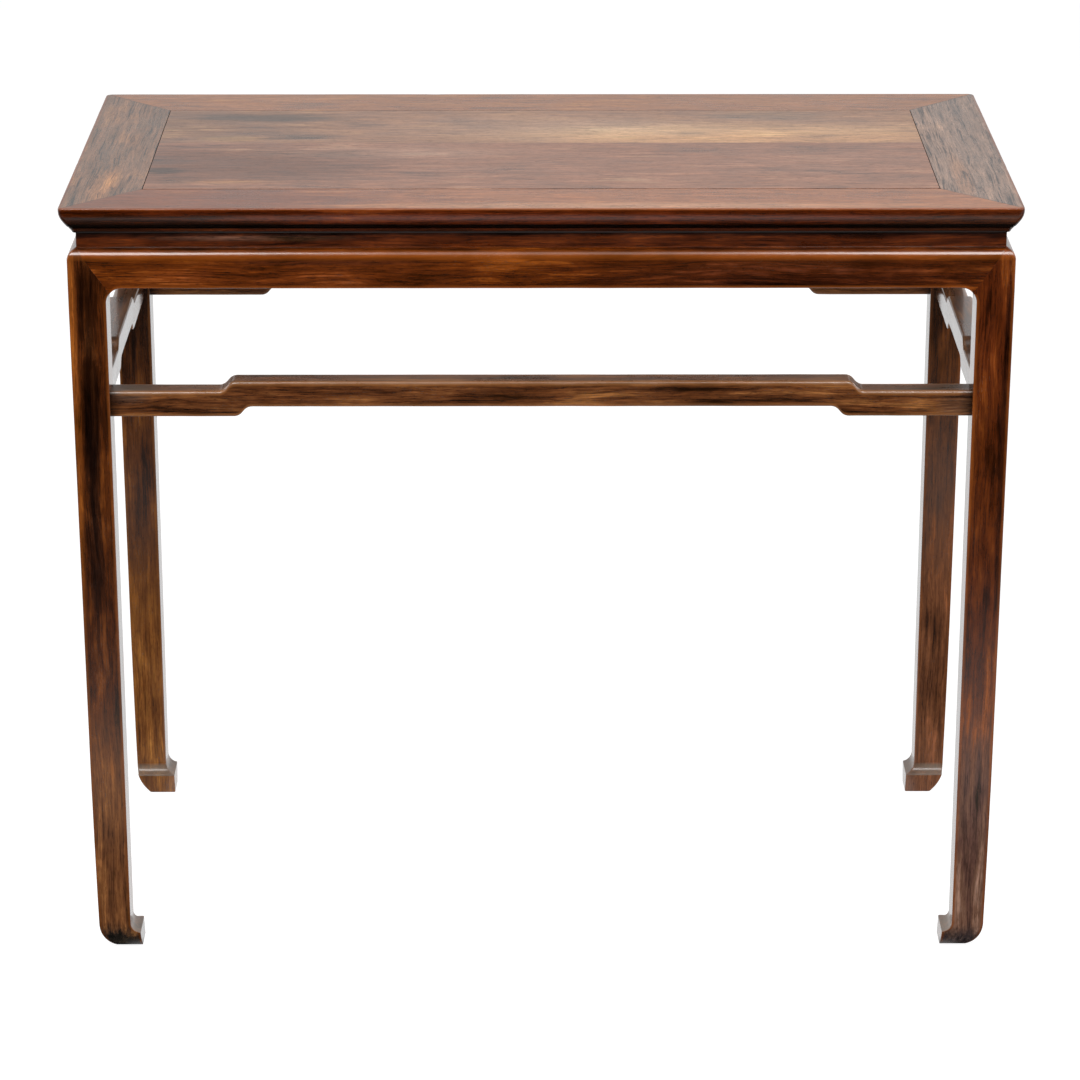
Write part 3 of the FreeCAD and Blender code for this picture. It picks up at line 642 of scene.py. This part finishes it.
def moulding():
    """Section of a frame member from its lip up the edge: (in, z, mark)."""
    widest = table_top - arris_drop
    lip_top = rail_bottom + lip_high
    # marks below 0 darken the underside of the lip, the quirk and the lower round with painted shade and
    # old wax
    path = [
        (lip_foot + 6, rail_bottom, -1.0),
        (lip_foot + 0.7, rail_bottom, -1.0),
        (lip_foot + 0.2, rail_bottom + 0.2, -0.9),
        (lip_foot, rail_bottom + 0.8, -0.7),
        (lip_foot - 0.5, rail_bottom + 1.9, -0.3),
        (lip_foot * 0.5 + lip_head * 0.5, rail_bottom + 0.5 * lip_high, 0.1),
        (lip_head, lip_top - 1.2, -0.2),
        (lip_head + 0.2, lip_top - 0.6, -0.8),
        (lip_head + quirk_deep, lip_top, -1.0)]
    turn = math.radians(edge_turn)
    turn_in = edge_radius * (1 - math.cos(turn))
    turn_down = edge_radius * math.sin(turn)
    for i, mark in enumerate((-1.0, -1.0, -0.75, -0.3, -0.05, 0.0)):
        angle = math.radians(lower_turn + (edge_turn - lower_turn) * i / 6)
        path.append((turn_in + lower_radius * (math.cos(turn) - math.cos(angle)),
                     widest - turn_down - lower_radius * (math.sin(angle) - math.sin(turn)), mark))
    for i in range(11):
        angle = turn * (1 - i / 10)
        path.append((edge_radius * (1 - math.cos(angle)), widest - edge_radius * math.sin(angle), 0.0))
    return path


edge_section = moulding()
edge_tones = ["#1a0700", "#3e1502", "#572005", "#7c3a10"]   # the edge has kept its wax and its colour
rail_tones = {
    "front": ["#572c13", "#8b522e", "#9a5f3a", "#b37a51"],
    "back": ["#593015", "#8f5731", "#9f663d", "#b98354"],
    "left": ["#3c281c", "#6a4a34", "#7e5840", "#a47650"],
    "right": ["#46342c", "#7b6152", "#8f715f", "#af8c74"]}
rail_streak = {"front": 0.5, "back": 0.5, "left": 0.65, "right": 0.65}
rail_vein = {"front": 0.2, "back": 0.2, "left": 1.7, "right": 1.7}
rail_span = {"front": half_length, "back": half_length, "left": half_depth, "right": half_depth}
rail_patches = {
    "front": [
        ((-370, -215, 835), (230, 60, 5), "#6e3618", 0.9),
        # painted highlight: a paler strip along the front of the top and its arris
        ((90, -238, 836), (330, 14, 2), "#bd8a66", 0.6),
        # painted reflection: a paler band along the middle of the moulded edge
        ((0, -246, 822), (900, 30, 7.0), "#bd7850", 0.9),
        # painted shade: the two ends of the moulded edge darker and greyer
        ((-450, -246, 818), (190, 30, 13), "#5c402a", 0.9),
        ((440, -246, 818), (120, 30, 13), "#6f5340", 0.8)],
    "back": [],
    "left": [((-452, -150, 835), (14, 100, 4), "#a0693c", 0.4)],
    "right": [((438, -120, 835), (9, 90, 4), "#9c653a", 0.4)]}
# small chips of the arris: place along it, half width and depth
chips = {
    "front": [(351, 3.0, 1.9), (-236, 5.0, 0.8), (-170, 4.0, 0.9), (-150, 3.0, 0.8)],
    "back": [(120, 4.0, 1.0)], "left": [(60, 5.0, 1.0)], "right": [(-90, 4.0, 1.0)]}
panel_joint = {"front": 1.9, "back": 0.5, "left": 0.5, "right": 0.5}        # how far it has opened

for turn, (side, reach) in enumerate(rail_span.items()):
    rings = []
    steps = 90 if side in ("front", "back") else 50
    stations = [("end", 45 - 9 * i) for i in range(6)]      # degrees round the corner of the edge
    stations += [("run", t) for t in range(1, steps)]
    stations += [("far", 9 * i) for i in range(6)]
    gap = panel_joint[side]
    for kind, t in stations:
        x_mid = reach if kind == "far" else -reach
        if kind == "run":
            x_mid = -reach + corner_round + (2 * reach - 2 * corner_round) * t / steps
        soft = uneven(arris_soft, x_mid, 0.25, turn * 9.0)
        soft += sum(deep * math.exp(-((x_mid - where) / wide) ** 2) for where, wide, deep in chips[side])
        groove = -0.7 if t == 45 and kind != "run" else 0.0     # the open joint of the mitre
        points = [(a, min(z, table_top - soft), mark) for a, z, mark in edge_section]
        for angle in (72, 54, 36, 18):
            rise = math.radians(angle)
            points.append((soft * (1 - math.sin(rise)), table_top - soft * (1 - math.cos(rise)), 1.0))
        points.append((soft, table_top, 1.0))
        points += [(a, table_top, groove) for a in (soft + 2.4, 15, 22, 40, rail_wide - 3, rail_wide - gap)]
        points += [
            (rail_wide - 0.8 * gap, table_top - 0.1, -0.8),
            (rail_wide - 0.3 * gap, table_top - 0.4, -1.0),
            (rail_wide, table_top - 1.2, -1.0),
            (rail_wide, rail_bottom + 0.5, 0.0),
            (rail_wide - 0.5, rail_bottom, 0.0)]
        ring = []
        for a, z, mark in points:
            held = min(max((40 - a) / 25, 0.0), 1.0)        # the round corner dies out inwards
            if kind == "run":
                share = t / steps
                left_x, right_x = -reach + a + corner_round, reach - a - corner_round
                x, y = left_x + (right_x - left_x) * share, a
            else:
                angle = math.radians(t)
                inwards = held * corner_round * (1 - math.sin(angle))
                inwards += (1 - held) * corner_round * (1 - t / 45)
                x = (reach - a - inwards) * (1 if kind == "far" else -1)
                y = a + held * corner_round * (1 - math.cos(angle))
            ring.append(side_place(side, x, y, z, (half_length, half_depth)) + (mark,))
        rings.append(ring)
    wood = rosewood("frame rosewood waxed " + side, side_grain[side], 41.0 + turn * 1.9, edge_tones,
                    sunned=rail_tones[side], polish=0.17, gloss=0.2, streak=rail_streak[side],
                    vein=rail_vein[side], fine=0.9, patches=rail_patches[side])
    dress("top_rail_" + side, rings, wood)

# ------------------------------------------------------------------ floating panel
# Two boards, tongued together and let into the frame flush with it, so that they can swell and
# shrink. Sun has bleached them towards gold and grey, and the wax on them is thin.
board_tones = {
    "front": ["#573422", "#875a43", "#95664f", "#ab8369"],
    "back": ["#583924", "#8c6147", "#9d7154", "#bb926e"]}
board_patches = {
    "front": [
        ((-330, -70, 835), (170, 80, 30), "#623b27", 0.85),
        ((-398, -97, 835), (24, 14, 30), "#46352a", 0.75),
        ((-330, -142, 835), (50, 9, 30), "#a87448", 0.5),
        ((-170, -20, 835), (140, 25, 30), "#a37c66", 0.5),
        ((330, -60, 835), (120, 60, 30), "#926752", 0.4)],
    "back": [
        ((-300, 135, 835), (80, 16, 30), "#544132", 0.75),
        ((-335, 42, 835), (34, 12, 30), "#b28656", 0.6),
        ((-370, 100, 835), (130, 80, 30), "#76543f", 0.7),
        ((0, 90, 835), (160, 60, 30), "#a37e66", 0.5),
        ((210, 50, 835), (230, 50, 30), "#c99668", 0.75),
        ((230, 95, 835), (260, 40, 30), "#a67f63", 0.5),
        ((250, 145, 835), (70, 20, 30), "#806753", 0.5)]}
for turn, which in enumerate(("front", "back")):
    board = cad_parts["panel_board_" + which]
    board.data.materials.clear()
    board.data.materials.append(rosewood(
        "panel rosewood waxed thin " + which, "x", 51.0 + turn * 2.9, board_tones[which],
        polish=0.3, gloss=0.12, streak=0.45, vein=0.3, mottle=0.85, fine=0.9, patches=board_patches[which]))

# ------------------------------------------------------------------ battens
# Three bars under the panel, slid into dovetailed housings across the boards to keep them flat.
# Nobody sees them, so they were planed and left without wax.
for turn, which in enumerate(("left", "middle", "right")):
    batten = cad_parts["batten_" + which]
    batten.data.materials.clear()
    batten.data.materials.append(rosewood(
        "batten rosewood bare " + which, "y", 61.0 + turn * 1.1,
        ["#2a1a10", "#4a3020", "#5f402b", "#7a5639"], polish=0.6, gloss=0.0, vein=0.3))

# ------------------------------------------------------------------ floor, room and lamps
# A white paper floor and soft lamps. The paper looks white and keeps the shadow of the table. In the polish
# of the wood it shows only as a painted reflection, white only in places: dark in front of the table as a
# dark room would be, with a painted shadow under the table.
paper = bpy.data.materials.new("white paper floor")
paper.use_nodes = True
tree = paper.node_tree
matt = tree.nodes["Principled BSDF"]
matt.inputs["Base Color"].default_value = colour("#c4c4c4")
matt.inputs["Roughness"].default_value = 0.9
ray = add(tree, "ShaderNodeLightPath")
glow = add(tree, "ShaderNodeEmission", {"Color": (1, 1, 1, 1), "Strength": 0.92})
faint = add(tree, "ShaderNodeMixShader", {0: 0.5, 1: matt.outputs[0]})
both = add(tree, "ShaderNodeAddShader", {0: faint.outputs[0], 1: glow.outputs[0]})
seen = add(tree, "ShaderNodeMixShader", {
    0: ray.outputs["Is Camera Ray"], 1: matt.outputs[0], 2: both.outputs[0]})

# how bright the polish mirrors the paper, a painted reflection set by its place on the floor in metres: it
# grows from the dark room in front towards the table, fades under it as a painted shadow, and is bright
# once more behind it
where = add(tree, "ShaderNodeSeparateXYZ", {0: add(tree, "ShaderNodeTexCoord").outputs["Object"]})
aslant = add(tree, "ShaderNodeMath", {0: where.outputs["X"], 1: 0.2, 2: where.outputs["Y"]},
             operation="MULTIPLY_ADD")
fade = {}
for part, inwards, start, end, start_level, end_level in (
        ("before the legs", aslant.outputs[0], -1.34, -0.78, 0.0, 0.6),
        ("under the legs", where.outputs["Y"], -0.95, -0.40, 1.0, 0.03),
        ("before the edge", where.outputs["Y"], -1.8, -0.8, 0.0, 0.72),
        ("under the edge", where.outputs["Y"], -0.80, -0.45, 1.0, 0.0),
        ("behind", where.outputs["Y"], -0.05, 0.45, 0.0, 0.6)):
    fade[part] = add(tree, "ShaderNodeMapRange", {
        0: inwards, 1: start, 2: end, 3: start_level, 4: end_level},
        interpolation_type="SMOOTHSTEP").outputs[0]
at_legs = add(tree, "ShaderNodeMath", {0: fade["before the legs"], 1: fade["under the legs"]},
              operation="MULTIPLY")
at_edge = add(tree, "ShaderNodeMath", {0: fade["before the edge"], 1: fade["under the edge"]},
              operation="MULTIPLY")
# the legs see the outer strips of it and the edge the middle one; between the legs their inner
# faces see it white
beside = add(tree, "ShaderNodeMath", {0: where.outputs["X"]}, operation="ABSOLUTE")
in_middle = add(tree, "ShaderNodeMapRange", {0: beside.outputs[0], 1: 0.45, 2: 0.42})
in_front = add(tree, "ShaderNodeMix", {
    0: in_middle.outputs[0], 2: at_legs.outputs[0], 3: at_edge.outputs[0]})
inside = add(tree, "ShaderNodeMapRange", {0: beside.outputs[0], 1: 0.455, 2: 0.44, 3: 0.0, 4: 0.9})
past_legs = add(tree, "ShaderNodeMapRange", {0: where.outputs["Y"], 1: -0.235, 2: -0.20})
inside = add(tree, "ShaderNodeMath", {0: inside.outputs[0], 1: past_legs.outputs[0]},
             operation="MULTIPLY")
farther = add(tree, "ShaderNodeMath", {0: fade["behind"], 1: inside.outputs[0]}, operation="MAXIMUM")
level = add(tree, "ShaderNodeMath", {0: in_front.outputs[0], 1: farther.outputs[0]}, use_clamp=True)
painted_floor_reflection = add(tree, "ShaderNodeEmission", {"Color": (1, 1, 1, 1), "Strength": level.outputs[0]})
surface = add(tree, "ShaderNodeMixShader", {
    0: ray.outputs["Is Glossy Ray"], 1: seen.outputs[0], 2: painted_floor_reflection.outputs[0]})
tree.links.new(surface.outputs[0], tree.nodes["Material Output"].inputs["Surface"])
floor_mesh = bpy.data.meshes.new("floor")
floor_mesh.from_pydata([(-3.5, -2.0, 0), (3.5, -2.0, 0), (3.5, 5.0, 0), (-3.5, 5.0, 0)], [], [(0, 1, 2, 3)])
floor_mesh.materials.append(paper)
floor = bpy.data.objects.new("floor", floor_mesh)
bpy.context.scene.collection.objects.link(floor)
floor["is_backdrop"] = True

# the room is white to the eye; in the polish it is a painted reflection, dark in front and bright behind
world = bpy.data.worlds.new("studio")
bpy.context.scene.world = world
world.use_nodes = True
tree = world.node_tree
way = add(tree, "ShaderNodeTexCoord")
parts = add(tree, "ShaderNodeSeparateXYZ", {0: way.outputs["Generated"]})
behind = add(tree, "ShaderNodeMapRange", {0: parts.outputs["Y"], 1: -0.15, 2: 0.35, 3: 0.0, 4: 0.68},
             interpolation_type="SMOOTHSTEP")
ray = add(tree, "ShaderNodeLightPath")
mirrored = add(tree, "ShaderNodeMix", {0: ray.outputs["Is Glossy Ray"], 2: 0.25, 3: behind.outputs[0]})
level = add(tree, "ShaderNodeMix", {0: ray.outputs["Is Camera Ray"], 2: mirrored.outputs[0], 3: 1.0})
tree.links.new(level.outputs[0], tree.nodes["Background"].inputs["Strength"])
tree.nodes["Background"].inputs["Color"].default_value = (1, 1, 1, 1)

for lamp_name, stand, aim, size, power in (
        ("softbox above the front", (0.0, -1.3, 2.55), (0.0, 0.0, 0.7), (2.8, 1.0), 10),
        ("left softbox above", (-0.95, -1.3, 2.5), (-0.3, 0.0, 0.7), (1.1, 0.9), 25.5),
        ("right softbox above", (0.95, -1.3, 2.5), (0.3, 0.0, 0.7), (1.1, 0.9), 25.5),
        ("left softbox", (-2.6, -1.4, 1.5), (0.0, 0.0, 0.5), (1.2, 1.6), 17.5),
        ("right softbox", (2.6, -1.4, 1.5), (0.0, 0.0, 0.5), (1.2, 1.6), 17.5),
        ("left softbox behind", (-2.6, 1.6, 1.5), (0.0, 0.0, 0.5), (1.2, 1.6), 14.0),
        ("right softbox behind", (2.6, 1.6, 1.5), (0.0, 0.0, 0.5), (1.2, 1.6), 14.0)):
    data = bpy.data.lights.new(lamp_name, "AREA")
    data.shape = "RECTANGLE"
    data.size, data.size_y = size
    data.energy = power
    lamp = bpy.data.objects.new(lamp_name, data)
    lamp.location = stand
    lamp.rotation_euler = (Vector(aim) - Vector(stand)).to_track_quat("-Z", "Y").to_euler()
    bpy.context.scene.collection.objects.link(lamp)

# ------------------------------------------------------------------ camera
# A long lens, a little left of the middle and looking down on the top.
lens_data = bpy.data.cameras.new("camera")
lens_data.sensor_width = 36.0
lens_data.lens = 130.7
camera = bpy.data.objects.new("camera", lens_data)
camera.location = (-0.0123, -4.0924, 1.8686)
camera.rotation_mode = "XYZ"
camera.rotation_euler = (math.radians(90 - 19.883), 0.0, math.radians(-0.161))
bpy.context.scene.collection.objects.link(camera)
bpy.context.scene.camera = camera
bpy.context.scene.view_settings.view_transform = "Standard"

low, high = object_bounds()
